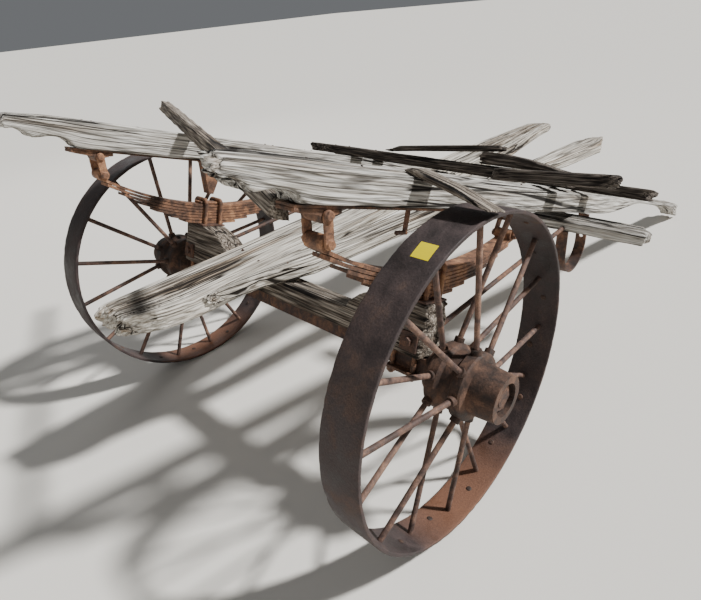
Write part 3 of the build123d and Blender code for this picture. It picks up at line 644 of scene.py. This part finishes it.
plankNails = {"spots": ((-1.05, -0.25), (-1.09, -0.12), (-1.07, 0.18), (0.0, -0.24), (0.03, -0.1), (-0.02, 0.01)),
              "height": 0.6755}
plankNail = {"Head Radius": 0.0068, "Head Height": 0.006, "Size Spread": 0.3, "Corners": 8, "Seed": 3}
plankSpots = []
for x, y in plankNails["spots"]:
    plankSpots.append((axleMiddle + Vector((x, y, plankNails["height"] - nearJoint[2])), Vector((0, 0, 1))))
placeHeads("plankNails", plankSpots, "chassis", plankNail, iron["plain"])
print("stage: nails and rivets")

# Blank paper label, dull and even in colour; it starts and ends at these degrees round the near tyre
labelShape = {"from": 67.9, "to": 73.7, "shift": 0.0055, "half": 0.0245, "skew": 0.0035, "radius": 0.5079,
              "thick": 0.0006, "steps": 6}
labelPaint, labelTree = startMaterial("yellow paper label")
paper = addNode(labelTree, "ShaderNodeBsdfPrincipled", {
    "Base Color": linearColour("#d0bf00"), "Roughness": 0.8, "Specular IOR Level": 0.1})
addNode(labelTree, "ShaderNodeOutputMaterial", {"Surface": paper.outputs[0]})
label = bmesh.new()
layers = []
for radius in (labelShape["radius"], labelShape["radius"] - labelShape["thick"]):
    rows = []
    for step in range(labelShape["steps"] + 1):
        part = step / labelShape["steps"]
        angle = math.radians(labelShape["from"] + (labelShape["to"] - labelShape["from"]) * part)
        middle = labelShape["shift"] + labelShape["skew"] * (0.5 - part)
        row = []
        for side in (-1, 1):
            spot = Vector((radius * math.cos(angle), middle + side * labelShape["half"], radius * math.sin(angle)))
            row.append(label.verts.new(wheelPlaces["near"] + spot))
        rows.append(row)
    layers.append(rows)
for rows in layers:
    for low, high in zip(rows, rows[1:]):
        label.faces.new((low[0], high[0], high[1], low[1]))
top, bottom = layers
for side in (0, 1):
    for step in range(labelShape["steps"]):
        label.faces.new((top[step][side], top[step + 1][side], bottom[step + 1][side], bottom[step][side]))
for step in (0, labelShape["steps"]):
    label.faces.new((top[step][0], top[step][1], bottom[step][1], bottom[step][0]))
bmesh.ops.recalc_face_normals(label, faces=label.faces)
newPiece("blankLabel", meshFrom(label, "blankLabel"), labelPaint, "near_wheel")
print("stage: label")

# Floor of matt paint, so large that its edge lies near the horizon
floorSize = 160.0
floorMesh = bpy.data.meshes.new("floor")
half = floorSize / 2
floorMesh.from_pydata([(-half, -half, 0), (half, -half, 0), (half, half, 0), (-half, half, 0)], [], [(0, 1, 2, 3)])
floor = bpy.data.objects.new("floor", floorMesh)
bpy.context.collection.objects.link(floor)
floorPaint, floorTree = startMaterial("pale studio floor")
matte = addNode(floorTree, "ShaderNodeBsdfPrincipled", {"Base Color": linearColour("#d6d2ca"), "Roughness": 0.9})
addNode(floorTree, "ShaderNodeOutputMaterial", {"Surface": matte.outputs[0]})
floorMesh.materials.append(floorPaint)

# The key light stands in for the sun, so its light is even over the whole floor
studio = {
    "key": {"kind": "SUN", "from": (-2.6, 3.6, 5.2), "aim": (0.4, 0.1, 0.4), "spread": 5.0, "power": 6.8},
    "fill": {"kind": "AREA", "from": (4.8, 2.2, 3.0), "aim": (0.6, 0.2, 0.5), "size": 4.0, "power": 34},
    "back": {"kind": "AREA", "from": (-1.0, -4.5, 3.5), "aim": (0.0, 0.0, 0.4), "size": 4.0, "power": 60},
}
for lightName, light in studio.items():
    lamp = bpy.data.lights.new(lightName, light["kind"])
    if light["kind"] == "SUN":
        lamp.angle = math.radians(light["spread"])
    else:
        lamp.size = light["size"]
    lamp.energy = light["power"]
    lampObject = bpy.data.objects.new(lightName, lamp)
    bpy.context.collection.objects.link(lampObject)
    lampObject.location = light["from"]
    aim = Vector(light["aim"]) - Vector(light["from"])
    lampObject.rotation_euler = aim.to_track_quat("-Z", "Y").to_euler()

skyLight = {"colour": "#e9edf2", "strength": 0.19}
world = bpy.data.worlds.new("studio")
bpy.context.scene.world = world
world.use_nodes = True
background = world.node_tree.nodes["Background"].inputs
background["Color"].default_value = linearColour(skyLight["colour"])
background["Strength"].default_value = skyLight["strength"]

# The camera stands where the photograph was taken, counted from the axle
cameraView = {"along": 1.0388, "across": 1.4220, "height": 1.4874, "yaw": -133.91, "pitch": 29.52, "roll": 5.85,
              "lens": 26.81}
yaw = math.radians(cameraView["yaw"])
pitch = math.radians(cameraView["pitch"])
roll = math.radians(cameraView["roll"])
ahead = Vector((math.cos(yaw) * math.cos(pitch), math.sin(yaw) * math.cos(pitch), -math.sin(pitch)))
level = Vector((math.sin(yaw), -math.cos(yaw), 0.0))
down = ahead.cross(level)
sideways = level * math.cos(roll) + down * math.sin(roll)
below = down * math.cos(roll) - level * math.sin(roll)
cameraData = bpy.data.cameras.new("camera")
cameraData.lens = cameraView["lens"]
cameraData.sensor_width = 36.0
cameraData.clip_end = 200.0
camera = bpy.data.objects.new("camera", cameraData)
bpy.context.collection.objects.link(camera)
turn = Matrix((sideways, -below, -ahead)).transposed().to_4x4()
spot = Vector((axleMiddle.x + cameraView["along"], axleMiddle.y + cameraView["across"], cameraView["height"]))
camera.matrix_world = Matrix.Translation(spot) @ turn
bpy.context.scene.camera = camera
print("stage: floor, light and camera")
